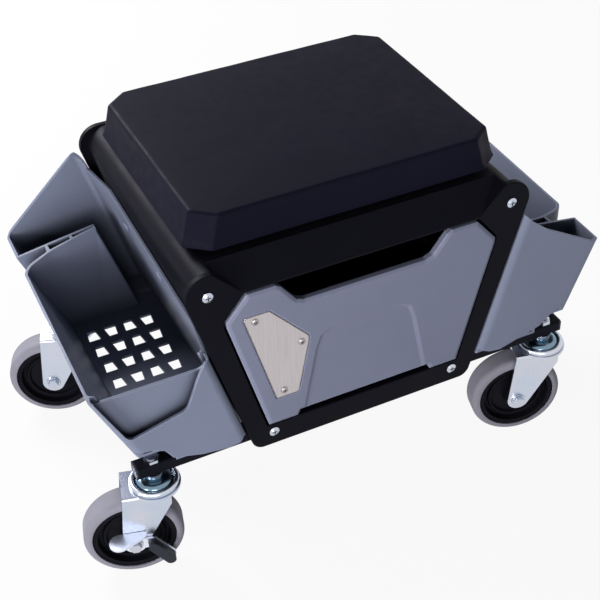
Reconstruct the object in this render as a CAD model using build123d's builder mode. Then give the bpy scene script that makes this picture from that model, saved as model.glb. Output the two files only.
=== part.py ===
from build123d import *
import math
import os

# Rolling mechanic's seat: a tapered box body on two cross tubes and four swivel casters,
# with a padded seat, a drawer in front and a bolted-on parts tray on each side.
# Millimetres. +Z up, +Y to the back, the drawer opens towards -Y.
# The origin is on the floor, midway between the four caster stems.

# ---------------------------------------------------------------- driving dimensions
# body
body_front_y = -145.0  # outer face of the front panel
body_rear_y = 151.0  # outer face of the rear panel
panel_thickness = 6.0
panel_bottom_z = 118.6
panel_top_z = 346.0
panel_foot_half = 121.0  # half width at the bottom edge
panel_splay = 0.285  # growth of the half width for each mm of height
panel_corner_radius = 22.0
panel_foot_radius = 13.0
panel_edge_radius = 1.2
wrap_foot_half = 120.0
wrap_splay = 0.245
wrap_wall = 2.0
wrap_bottom_z = 122.6
roof_drop = 1.0
wrap_top_z = panel_top_z - roof_drop
wrap_corner_radius = 20.0
wrap_flange = 22.0  # width of the flange turned in under the body
base_thickness = 2.0
base_gap = 0.5  # between the base plate and the walls round it

# drawer opening and the bevelled bar above it
opening_bottom_z = 145.0
opening_drop = 30.5  # opening below the top of the panel
opening_top_z = panel_top_z - opening_drop
opening_foot_half = 107.5
opening_cheek = 32.5  # the opening is widest this far below its top
opening_widest_z = opening_top_z - opening_cheek
opening_shoulder = 26.0
opening_shoulder_z = opening_top_z - opening_shoulder
opening_side = 24.054  # panel left beside the opening where it is widest
opening_side_top = 54.6165  # and at its top
dip_depth = 28.0
dip_foot_z = panel_top_z - dip_depth
dip_margin = 1.5  # the dip is wider than the opening's top by this much each side
brow_depth = 26.0
brow_skin = 4.0

# drawer
front_gap = 2.0  # between the drawer front and the opening
front_proud = 2.5
front_thickness = 8.0
front_foot_z = 147.0
front_notch_half = 68.0
front_notch = 27.5  # finger notch below the top of the opening
front_notch_z = opening_top_z - front_notch
front_ear_half = 90.0
relief_depth = 2.0
trim_depth = 1.0
trim_thickness = 1.4
box_half = 102.0
box_bottom_z = 150.8
box_drop = 26.0  # drawer box below the finger notch
box_top_z = front_notch_z - box_drop
box_rear_y = 128.0
box_wall = 2.0
flange_width = 10.0
runner_gap = 0.3
runner_sheet = 2.5
runner_drop = 24.0

# cross tubes and casters
tube_width = 16.4
tube_height = 14.0
tube_wall = 2.0
tube_half_length = 240.0
stem_inset = 16.3  # stem axis in from the tube end
stem_x = tube_half_length - stem_inset
stem_radius = 5.0
stem_end = 4.2  # stem above the cross tube
stem_nut_radius = 8.2
stem_nut_height = 3.2
collar_radius = 9.5
dome_radius = 13.0
dome_top_z = 119.0
cup_radius = 18.8
cup_rim = 1.5
kingpin_radius = 7.9
kingpin_head_radius = 11.0
kingpin_head_height = 4.4
race_gap = 0.5
race_radius = 24.6
race_height = 5.5
wheel_radius = 50.0
wheel_width = 28.0
tyre_shoulder = 6.5
hub_radius = 41.8
hub_rim = 6.8
hub_half = 12.5
hub_web = 6.0
hub_boss_radius = 13.0
hub_boss_half = 14.5
hub_ring_radius = 29.0
hub_ring_half = 9.0
bush_radius = 6.1
bush_half = 16.7
caster_trail = 26.5
fork_top_z = 111.5
fork_sheet = 3.0
fork_gap = 3.0  # between the tyre and each leg
fork_bend_radius = 2.6
fork_disc_radius = 26.0
fork_reach = 33.0  # front edge of the plate and legs, from the stem
fork_heel = -14.0
fork_skirt = 13.5
fork_eye_radius = 12.0
axle_radius = 4.0
axle_washer_radius = 7.4
axle_washer = 1.2
axle_head_radius = 5.9
axle_head = 4.5
shaft_fit = 0.05
headings = {
    "front_left": 165.1,
    "front_right": 165.4,
    "rear_left": 158.2,
    "rear_right": 160.0,
}
braked = ("front_left", "rear_right")
brake_gap = 0.3  # between the brake lever and the fork leg
brake_sheet = 2.5
brake_hub_radius = 11.0
brake_tread_z = 65.0  # top of the tread
brake_tread_radius = 10.0
brake_tread_x = 15.0  # its wide end beyond the axle
brake_toe_radius = 4.0
brake_toe_x = -8.0
brake_shelf = (26.0, 4.0)  # upright part of the lever that carries the tread
brake_tip = (-6.0, 29.0)
brake_tip_radius = 5.3
brake_neck = (9.0, 50.0)
brake_neck_radius = 5.0
brake_edge = 0.7  # of the lever showing round its cover
brake_cover = 8.0

# trays
tray_wall = 3.0
tray_gap = 1.0  # between a tray and the body side
tray_end_y = 148.0
tray_rim_z = 243.0
tray_reach_scoop = 277.0
tray_taper = 6.0  # the narrow end reaches this much less than the scoop end
tray_reach_narrow = tray_reach_scoop - tray_taper
tray_lean = 47.0  # of the outer wall, from its foot out to the rim
tray_foot_x = tray_reach_scoop - tray_lean
tray_underside_z = 138.0
tray_crest_z = 322.0  # rim at the narrow end wall
tray_rim_high_z = 304.0  # rim where it leaves the crest
tray_rim_low_z = 252.0  # rim at the scoop end wall
tray_skirt = 8.0  # how far the end walls may hang below the underside
tray_knee_x = 192.0
tray_end_radius = 9.0  # upright corners
tray_shoulder_gap = 0.8  # between the end panels' inner faces and a tray's shoulders
tray_bend = 40.0  # length over which a tray's inner wall bends out round an end panel
crest_depth = 12.0
tray_screw_ys = (-75.0, 20.0)
mouth_cut = 8.0
divider_y = 105.5
divider_tip_in = 84.0  # top of the divider's free edge, in from the narrow end's reach
divider_tip = (tray_reach_narrow - divider_tip_in, 257.0)  # x and z of that edge at the top
divider_foot = (150.0, 141.0)  # and at the floor
divider_nose_radius = 2.5
scoop_wall_y = 133.0  # inner face of the wall between the big bin and the scoop
scoop_wall_z = 236.5
scoop_wall_corner = (160.0, 11.0)  # x and radius where that wall climbs to the inner rim
scoop_wall_end = (tray_reach_scoop - 4.0, 7.0)  # the same at the outer rim
slot_depth = 60.0  # of the divider's pockets below the outer rim
floor_rise = 3.0  # floor over the cross tubes
floor_nut_rise = 21.5  # floor over the stem nuts
floor_nut_room = 20.7  # that step starts this far inside the stem
floor_nut_x = stem_x - floor_nut_room

# seat
seat_height = 44.0  # seat top above the roof
seat_lip_rise = 7.0
seat_top_z = wrap_top_z + seat_height
seat_lip_z = wrap_top_z + seat_lip_rise
seat_centre_y = 5.0
seat_top_half = (153.0, 123.7)
seat_lip_half = (162.5, 126.5)
seat_foot_half = (154.0, 117.0)
seat_corner = (21.7, 18.2)
board_thickness = 3.5
board_half = (146.0, 110.0)

# fasteners
screw_radius = 2.0
screw_head_radius = 5.2
screw_head_height = 2.6
trim_head_radius = 3.6
trim_head_height = 1.4
drive_slot = 1.2
bolt_radius = 3.0
bolt_head_radius = 5.8
bolt_head_height = 3.4
box_screw_bite = 4.5

# ---------------------------------------------------------------- worked out
panel_back_y = body_front_y + panel_thickness
rear_inner_y = body_rear_y - panel_thickness
panel_screw_foot = (100.9, 136.0)
base_bottom_z = wrap_bottom_z + wrap_wall
tube_bottom_z = base_bottom_z + base_thickness
tube_top_z = tube_bottom_z + tube_height
stem_top_z = tube_top_z + stem_end
fork_plate_z = fork_top_z - fork_sheet
fork_half = wheel_width / 2 + fork_gap + fork_sheet
tube_centre_y = -panel_back_y - 0.1 - tube_width / 2
stems = {
    "front_left": (-stem_x, -tube_centre_y),
    "front_right": (stem_x, -tube_centre_y),
    "rear_left": (-stem_x, tube_centre_y),
    "rear_right": (stem_x, tube_centre_y),
}


def xz(y):
    """Upright sketch plane facing the front: sketch x is X and sketch y is Z."""
    return Plane(origin=(0, y, 0), x_dir=(1, 0, 0), z_dir=(0, -1, 0))


def yz(x):
    """Upright sketch plane facing right: sketch x is Y and sketch y is Z."""
    return Plane(origin=(x, 0, 0), x_dir=(0, 1, 0), z_dir=(1, 0, 0))


def panel_half(z):
    return panel_foot_half + panel_splay * (z - panel_bottom_z)


opening_widest_half = panel_half(opening_widest_z) - opening_side
opening_top_half = panel_half(opening_top_z) - opening_side_top
dip_foot_half = opening_top_half + dip_margin
panel_screw_in = (28.109, 22.1)  # upper screws, in from the side and the top
panel_screw_top = (panel_half(panel_top_z) - panel_screw_in[0], panel_top_z - panel_screw_in[1])


def wrap_half(z, inset=0.0):
    return wrap_foot_half + wrap_splay * (z - panel_bottom_z) - inset * math.hypot(1, wrap_splay)


def both_sides(points):
    """A right-hand half outline, run bottom to top, closed by its mirror image."""
    return points + [(-x, z) for x, z in reversed(points)]


def export(part, name):
    part.label = name
    export_step(part, f"parts/{name}.step")


os.makedirs("parts", exist_ok=True)


# ---------------------------------------------------------------- panels
def panel_outline():
    with BuildSketch() as outline:
        Polygon(
            *both_sides([(panel_foot_half, panel_bottom_z), (panel_half(panel_top_z), panel_top_z)]),
            align=None,
        )
        fillet(outline.vertices().group_by(Axis.Y)[0], panel_foot_radius)
        fillet(outline.vertices().group_by(Axis.Y)[-1], panel_corner_radius)
        with Locations(*both_sides([panel_screw_foot, panel_screw_top])):
            Circle(screw_radius + shaft_fit, mode=Mode.SUBTRACT)
    return outline.sketch


opening = both_sides(
    [
        (opening_foot_half, opening_bottom_z),
        (opening_widest_half, opening_widest_z),
        (opening_widest_half, opening_shoulder_z),
        (opening_top_half, opening_top_z),
    ]
)
dip_top_half = dip_foot_half + panel_top_z - dip_foot_z
brow_back_y = body_front_y + brow_depth
brow_top_z = wrap_top_z

with BuildPart() as front_panel:
    with BuildSketch(xz(panel_back_y)):
        add(panel_outline())
        Polygon(
            *both_sides([(dip_foot_half, dip_foot_z), (dip_top_half, panel_top_z)]),
            align=None,
            mode=Mode.SUBTRACT,
        )
        Polygon(*opening, align=None, mode=Mode.SUBTRACT)
    extrude(amount=panel_thickness)
    # the bar over the opening leans back up to the roof
    with BuildSketch(yz(-dip_top_half)):
        Polygon(
            (body_front_y, opening_top_z),
            (body_front_y + brow_skin, opening_top_z),
            (body_front_y + brow_skin, dip_foot_z),
            (brow_back_y - brow_skin, brow_top_z - brow_skin),
            (brow_back_y, brow_top_z - brow_skin),
            (brow_back_y, brow_top_z),
            (brow_back_y - brow_skin, brow_top_z),
            (body_front_y, dip_foot_z),
            align=None,
        )
    extrude(amount=2 * dip_top_half)
    # sloping cheeks join the bar to the corner pads
    with BuildSketch(xz(brow_back_y)):
        for side in (1, -1):
            cheek = [
                (dip_foot_half, dip_foot_z),
                (dip_foot_half, opening_top_z),
                (dip_top_half, opening_top_z),
                (dip_top_half, brow_top_z),
                (dip_top_half - panel_top_z + brow_top_z, brow_top_z),
            ]
            Polygon(*[(side * x, z) for x, z in cheek][::side], align=None)
    extrude(amount=brow_depth)
    fillet(
        front_panel.edges().filter_by(Plane.XZ).group_by(Axis.Y)[0],
        panel_edge_radius,
    )
export(front_panel.part, "front_panel")

boss_radius = 5.4
with BuildPart() as rear_panel:
    with BuildSketch(xz(body_rear_y)):
        add(panel_outline())
    extrude(amount=panel_thickness)
    fillet(rear_panel.faces().sort_by(Axis.Y)[-1].outer_wire().edges(), panel_edge_radius)
    with BuildSketch(xz(rear_inner_y)):
        for side in (1, -1):
            with Locations((side * panel_screw_foot[0], panel_screw_foot[1])):
                Circle(boss_radius)
                Circle(screw_radius + shaft_fit, mode=Mode.SUBTRACT)
    extrude(amount=rear_inner_y - tube_centre_y - tube_width / 2)
export(rear_panel.part, "rear_panel")


# ---------------------------------------------------------------- wrap-round shell and base
def wrap_outline(inset):
    bottom_z = wrap_bottom_z + inset
    top_z = wrap_top_z - inset
    with BuildSketch() as outline:
        Polygon(
            *both_sides([(wrap_half(bottom_z, inset), bottom_z), (wrap_half(top_z, inset), top_z)]),
            align=None,
        )
        fillet(outline.vertices().group_by(Axis.Y)[-1], wrap_corner_radius - inset)
    return outline.sketch


def body_side(z):
    """Inner face of a tray beside the body."""
    return wrap_half(z) + tray_gap


def side_screw_place(side, y):
    """Location on the inside of a tray's inner wall, its z axis pointing into the tray."""
    lean = 90 + math.degrees(math.atan(wrap_splay))
    return Location((side * (body_side(side_screw_z) + tray_wall), y, side_screw_z), (0, side * lean, 0))


tube_slot_gap = 0.6
seat_bolt_half = (board_half[0] - 36.0, board_half[1] - 35.0)
seat_bolt_spots = [
    (side * seat_bolt_half[0], seat_centre_y + end * seat_bolt_half[1]) for side in (-1, 1) for end in (-1, 1)
]
base_bolt_x = 109.0
base_bolt_spots = [(x, y) for x in (-base_bolt_x, base_bolt_x) for y in (-tube_centre_y, tube_centre_y)]
side_screw_z = 264.0
side_screw_spots = [(side, side * y) for side in (-1, 1) for y in tray_screw_ys]
with BuildPart() as body_wrap:
    with BuildSketch(xz(rear_inner_y)):
        add(wrap_outline(0))
        add(wrap_outline(wrap_wall), mode=Mode.SUBTRACT)
        with Locations((0, wrap_bottom_z)):
            Rectangle(2 * (wrap_foot_half - wrap_flange), 4 * wrap_wall, mode=Mode.SUBTRACT)
    extrude(amount=rear_inner_y - panel_back_y)
    # the roof stops behind the front panel's leaning bar
    with BuildSketch(Plane.XY.offset(opening_top_z)):
        with Locations((0, panel_back_y)):
            Rectangle(2 * dip_top_half + 1, 2 * (brow_back_y - panel_back_y + 0.2))
    extrude(amount=wrap_top_z - opening_top_z + 1, mode=Mode.SUBTRACT)
    # the cross tubes pass through both sides
    with BuildSketch(Plane.YZ):
        with Locations(*[(side * tube_centre_y, tube_bottom_z + tube_height / 2) for side in (1, -1)]):
            Rectangle(tube_width + 2 * tube_slot_gap, tube_height + 2 * tube_slot_gap)
    extrude(amount=tube_half_length, both=True, mode=Mode.SUBTRACT)
    with Locations(*[(x, y, wrap_top_z) for x, y in seat_bolt_spots]):
        Hole(bolt_radius + shaft_fit, depth=2 * wrap_wall)
    with Locations(*[(x, y, base_bottom_z) for x, y in base_bolt_spots]):
        Hole(bolt_radius + shaft_fit, depth=2 * wrap_wall)
    for side, y in side_screw_spots:
        with Locations(side_screw_place(side, y)):
            Cylinder(screw_radius + shaft_fit, 8 * wrap_wall, mode=Mode.SUBTRACT)
export(body_wrap.part, "body_wrap")

base_half = wrap_half(base_bottom_z, wrap_wall) - base_gap
with BuildPart() as base_plate:
    with BuildSketch(Plane.XY.offset(base_bottom_z)):
        with Locations((0, (panel_back_y + rear_inner_y) / 2)):
            Rectangle(2 * base_half, rear_inner_y - panel_back_y - 2 * base_gap)
        with Locations(*base_bolt_spots):
            Circle(bolt_radius + shaft_fit, mode=Mode.SUBTRACT)
    extrude(amount=base_thickness)
export(base_plate.part, "base_plate")


# ---------------------------------------------------------------- cross tubes
def cross_tube(centre_y):
    with BuildPart() as tube:
        with BuildSketch(yz(-tube_half_length)):
            with Locations((centre_y, tube_bottom_z + tube_height / 2)):
                RectangleRounded(tube_width, tube_height, 2.5)
                Rectangle(tube_width - 2 * tube_wall, tube_height - 2 * tube_wall, mode=Mode.SUBTRACT)
        extrude(amount=2 * tube_half_length)
        with Locations((-stem_x, centre_y, tube_top_z), (stem_x, centre_y, tube_top_z)):
            Hole(stem_radius + shaft_fit, depth=2 * tube_height)
        with Locations((-base_bolt_x, centre_y, tube_top_z), (base_bolt_x, centre_y, tube_top_z)):
            Hole(bolt_radius + shaft_fit, depth=2 * tube_height)
        outer_y = centre_y + math.copysign(tube_width / 2, centre_y)
        with BuildSketch(xz(outer_y)):
            with Locations(*[(side * panel_screw_foot[0], panel_screw_foot[1]) for side in (1, -1)]):
                Circle(screw_radius)
        extrude(amount=math.copysign(2 * tube_wall, centre_y), mode=Mode.SUBTRACT)
    return tube.part


export(cross_tube(-tube_centre_y), "front_cross_tube")
export(cross_tube(tube_centre_y), "rear_cross_tube")

plug_cap = 2.0
plug_depth = 9.0
with BuildPart() as tube_plugs:
    for side in (-1, 1):
        for centre_y in (-tube_centre_y, tube_centre_y):
            with BuildSketch(yz(side * tube_half_length)):
                with Locations((centre_y, tube_bottom_z + tube_height / 2)):
                    RectangleRounded(tube_width, tube_height, 2.5)
            extrude(amount=side * plug_cap)
            with BuildSketch(yz(side * tube_half_length)):
                with Locations((centre_y, tube_bottom_z + tube_height / 2)):
                    Rectangle(tube_width - 2 * tube_wall, tube_height - 2 * tube_wall)
            extrude(amount=-side * plug_depth)
export(tube_plugs.part, "tube_plugs")

# ---------------------------------------------------------------- drawer
front_outline = both_sides(
    [
        (opening_foot_half - front_gap, front_foot_z),
        (opening_widest_half - front_gap, opening_widest_z),
        (opening_widest_half - front_gap, opening_shoulder_z - front_gap / 2),
        (opening_top_half - front_gap, opening_top_z - front_gap),
        (front_ear_half + 2, opening_top_z - front_gap),
        (front_ear_half - 3, opening_top_z - 2.5 * front_gap),
        (front_notch_half + 4, front_notch_z + 3),
        (front_notch_half - 4, front_notch_z),
    ]
)
foot_lift = 6.5
front_bevel = (3.2, 1.8)  # across the face and down the edge
relief_slope = 58.0
trim_gap = 0.7
foot_inner_half = 75.0
relief_outline = both_sides([(70.0, front_foot_z), (54.5, 224.5), (49.0, 240.0), (38.0, 245.5)])
trim_outline = [
    (-98.0, 179.0),
    (-75.0, 179.0),
    (-72.5, 182.0),
    (-60.5, 241.0),
    (-61.0, 246.0),
    (-100.0, opening_top_z - 26.0),
    (-124.5, opening_top_z - 26.0),
    (-127.0, opening_top_z - 30.0),
]
trim_screw_spots = [(-115.0, opening_top_z - 34.0), (-69.0, 240.5), (-89.0, 187.5)]
box_screw_half = box_half - 22.0
box_screw_zs = (box_bottom_z + 21.2, box_top_z - 26.0)
box_screw_spots = [(side * box_screw_half, z) for side in (-1, 1) for z in box_screw_zs]
drawer_face_y = body_front_y - front_proud
drawer_back_y = drawer_face_y + front_thickness
with BuildPart() as drawer_front:
    with BuildSketch(xz(drawer_back_y)):
        Polygon(*front_outline, align=None)
        Polygon(
            *both_sides(
                [(foot_inner_half, front_foot_z - 1), (foot_inner_half - foot_lift / 2, front_foot_z + foot_lift)]
            ),
            align=None,
            mode=Mode.SUBTRACT,
        )
        with Locations(*trim_screw_spots):
            Circle(screw_radius, mode=Mode.SUBTRACT)
    extrude(amount=front_thickness)
    face = drawer_front.faces().sort_by(Axis.Y)[0]
    chamfer(face.outer_wire().edges(), front_bevel[0], front_bevel[1], reference=face)
    with BuildSketch(xz(drawer_face_y)):
        Polygon(*relief_outline, align=None)
    extrude(amount=-relief_depth, taper=relief_slope, mode=Mode.SUBTRACT)
    with BuildSketch(xz(drawer_face_y)):
        Polygon(*trim_outline, align=None)
    extrude(amount=-trim_depth, mode=Mode.SUBTRACT)
    with BuildSketch(xz(drawer_back_y)):
        with Locations(*box_screw_spots):
            Circle(screw_radius)
    extrude(amount=box_screw_bite, mode=Mode.SUBTRACT)
export(drawer_front.part, "drawer_front")

trim_face_y = drawer_face_y + trim_depth - trim_thickness
with BuildPart() as trim_plate:
    with BuildSketch(xz(drawer_face_y + trim_depth)):
        Polygon(*trim_outline, align=None)
        offset(amount=-trim_gap, kind=Kind.INTERSECTION, mode=Mode.REPLACE)
        with Locations(*trim_screw_spots):
            Circle(screw_radius, mode=Mode.SUBTRACT)
    extrude(amount=trim_thickness)
export(trim_plate.part, "trim_plate")

with BuildPart() as drawer_box:
    with BuildSketch(Plane.XY.offset(box_bottom_z)) as floor_plan:
        with Locations((0, (drawer_back_y + box_rear_y) / 2)):
            RectangleRounded(2 * box_half, box_rear_y - drawer_back_y, 8)
    extrude(amount=box_top_z - box_bottom_z)
    offset(
        amount=-box_wall,
        openings=drawer_box.faces().sort_by(Axis.Z)[-1],
    )
    with BuildSketch(xz(drawer_back_y + box_wall)):
        with Locations(*box_screw_spots):
            Circle(screw_radius + shaft_fit)
    extrude(amount=box_wall, mode=Mode.SUBTRACT)
    # rims that hang on the runners
    with BuildSketch(Plane.XY.offset(box_top_z - box_wall)):
        for side in (1, -1):
            with Locations((side * (box_half + flange_width / 2 - 0.5), (drawer_back_y + box_rear_y) / 2)):
                Rectangle(flange_width + 1, box_rear_y - drawer_back_y - 16)
    extrude(amount=box_wall)
export(drawer_box.part, "drawer_box")

# runners: a ledge under each rim, turned down along the body side and riveted to it
ledge_z = box_top_z - box_wall - runner_gap
runner_inner = box_half + 2.5


def wrap_inside(z):
    return wrap_half(z, wrap_wall)


for side, name in ((-1, "left_runner"), (1, "right_runner")):
    section = [
        (runner_inner, ledge_z),
        (runner_inner, ledge_z - runner_sheet),
        (wrap_inside(ledge_z - runner_sheet) - runner_sheet, ledge_z - runner_sheet),
        (wrap_inside(ledge_z - runner_drop) - runner_sheet, ledge_z - runner_drop),
        (wrap_inside(ledge_z - runner_drop), ledge_z - runner_drop),
        (wrap_inside(ledge_z), ledge_z),
    ]
    with BuildPart() as runner:
        with BuildSketch(xz(rear_inner_y - 1)):
            Polygon(*[(side * x, z) for x, z in section][::side], align=None)
        extrude(amount=rear_inner_y - panel_back_y - 2)
    export(runner.part, name)

# ---------------------------------------------------------------- tie rods, seat board and seat
with BuildPart() as tie_rods:
    with BuildSketch(xz(rear_inner_y)):
        with Locations(*[(side * panel_screw_top[0], panel_screw_top[1]) for side in (1, -1)]):
            Circle(boss_radius)
            Circle(screw_radius, mode=Mode.SUBTRACT)
    extrude(amount=rear_inner_y - panel_back_y)
export(tie_rods.part, "tie_rods")

with BuildPart() as seat_board:
    with BuildSketch(Plane.XY.offset(wrap_top_z)):
        with Locations((0, seat_centre_y)):
            RectangleRounded(2 * board_half[0], 2 * board_half[1], 14)
        with Locations(*seat_bolt_spots):
            Circle(bolt_radius, mode=Mode.SUBTRACT)
    extrude(amount=board_thickness)
export(seat_board.part, "seat_board")


def cut_corner_plan(half, z):
    """Rectangle with its four corners cut, centred under the seat, as a sketch at height z."""
    x, y = half
    cut_x, cut_y = seat_corner
    corners = [(x - cut_x, -y), (x, cut_y - y), (x, y - cut_y), (x - cut_x, y)]
    with BuildSketch(Plane.XY.offset(z)) as plan:
        with Locations((0, seat_centre_y)):
            Polygon(*both_sides(corners), align=None)
    return plan.sketch


with BuildPart() as seat_pad:
    add(cut_corner_plan(seat_foot_half, wrap_top_z + board_thickness))
    add(cut_corner_plan(seat_lip_half, seat_lip_z))
    loft(ruled=True)
    add(cut_corner_plan(seat_lip_half, seat_lip_z))
    add(cut_corner_plan(seat_top_half, seat_top_z))
    loft(ruled=True)
export(seat_pad.part, "seat_pad")


# ---------------------------------------------------------------- trays
# Points below are (x, z) in upright sketches and (x, y) in level ones, for the right-hand tray.
right_crest = [(tray_reach_narrow - 9.0, 244.5), (203.0, 278.5), (186.5, 292.0), (179.0, 300.0), (150.0, 325.0)]
left_crest = [(tray_reach_narrow, 243.5), (193.5, 316.5), (189.0, 320.0), (184.0, 321.5), (150.0, 322.0)]
narrow_foot = [(131.0, 152.0), (138.0, 146.5), (146.0, 142.5), (158.6, 140.8)]
narrow_foot += [(stem_x + x, z) for x, z in ((-17.7, 154.0), (-4.4, 165.3), (15.3, 173.2))]
scoop_foot = [(131.5, 147.0), (138.0, 139.5), (150.0, 138.0), (177.0, 141.8)]
scoop_foot += [(stem_x + x, z) for x, z in ((-17.7, 150.4), (-9.7, 163.0), (2.3, 169.0), (23.3, 171.5))]
lip_line = [(163.6, 257.4), (172.7, 241.7), (187.9, 204.4)]
lip_line += [(tray_reach_scoop + x, z) for x, z in ((-30.5, 189.3), (-0.6, 251.0))]
lip_radius = 9.0
divider_face = [(tray_reach_narrow + x, y) for x, y in ((-0.5, -78.0), (-33.0, -91.5), (-84.0, -99.5))]
divider_face_radii = (20.0, 40.0)
notch_corner = (tray_reach_narrow + 2.5, -80.5)
notch_radius = 23.0
notch_end = (tray_reach_narrow - 29.5, -93.2)
pocket_back_y = -102.9
first_pocket = [(tray_reach_narrow + x, y) for x, y in ((-80.5, -101.2), (-59.0, -97.9))]
second_pocket = [(tray_reach_narrow + x, y) for x, y in ((-56.0, -97.5), (-32.5, -93.9))]
notch_edge_y = -40.0
hole_first_x = 152.5
hole_pitch = 20.5
hole_margin = 15.9  # least room between the last column and the foot of the outer wall
hole_count = 1 + math.floor((tray_foot_x - hole_margin - hole_first_x) / hole_pitch)
hole_columns = [hole_first_x + hole_pitch * column for column in range(hole_count)]
hole_rows = [-70.5 + 27.5 * row for row in range(7)]
hole_wide = 6.6  # half widths and half depth of a drain hole
hole_slim = 4.7
hole_deep = 8.0
panel_shoulder_y = -panel_back_y - tray_shoulder_gap
bend_y = panel_shoulder_y - tray_bend
stop = tray_end_y - tray_wall
beyond_x = tray_reach_scoop + 20  # clear of every tray
within_x = body_side(tray_underside_z - 30) - 10
beneath_z = tray_underside_z - 40
above_z = tray_crest_z + 20


def panel_side(z):
    return panel_half(z) + tray_gap


def tray_side(y, z):
    """Outer face of a tray's inner wall: along the body side, then bent out round an end panel."""
    share = min(max((abs(y) - bend_y) / (panel_shoulder_y - bend_y), 0.0), 1.0)
    return body_side(z) + share * (panel_side(z) - body_side(z))


def inner_rim(y):
    """Rim height beside the body: down from the narrow end's crest, then on down to the scoop."""
    if y < -panel_shoulder_y:
        share = (-panel_shoulder_y - y) / (tray_end_y - panel_shoulder_y)
        return tray_rim_high_z + share * (tray_crest_z - tray_rim_high_z)
    share = (y + panel_shoulder_y) / (tray_end_y + panel_shoulder_y)
    return tray_rim_high_z + share * (tray_rim_low_z - tray_rim_high_z)


def outer_reach(y):
    share = (y + tray_end_y) / (2 * tray_end_y)
    return tray_reach_narrow + share * (tray_reach_scoop - tray_reach_narrow)


def tray_prism(inset, stations, start_radii, end_radii):
    """Tray-shaped prism through the given depths, its upright end corners rounded.

    It is bounded by the body side, the underside, the sloping outer wall and the mouth. With an
    inset it is the hollow inside those walls, and runs on up through the mouth.
    """
    low = tray_underside_z + (inset if inset else -tray_skirt)
    over = mouth_cut if inset else 0.0
    with BuildPart() as prism:
        for y in stations:
            reach = outer_reach(y)
            rim_z = inner_rim(y) + over
            outer_rise = (reach - tray_foot_x) / (tray_rim_z - tray_underside_z)
            with BuildSketch(xz(y)):
                Polygon(
                    (tray_side(y, low) + inset, low),
                    (tray_foot_x + outer_rise * (low - tray_underside_z) - inset, low),
                    (reach + outer_rise * over - inset, tray_rim_z + over),
                    (tray_knee_x, rim_z),
                    (tray_side(y, rim_z) + inset, rim_z),
                    align=None,
                )
        loft(ruled=True)
        for y, radii in ((stations[0], start_radii), (stations[-1], end_radii)):
            for corner, radius in zip((0, -1), radii):
                if radius:
                    lines = prism.edges().filter_by_position(Axis.Y, y - 0.1, y + 0.1).sort_by(Axis.X)
                    fillet(lines[corner], radius - inset)
    return prism.part


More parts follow.
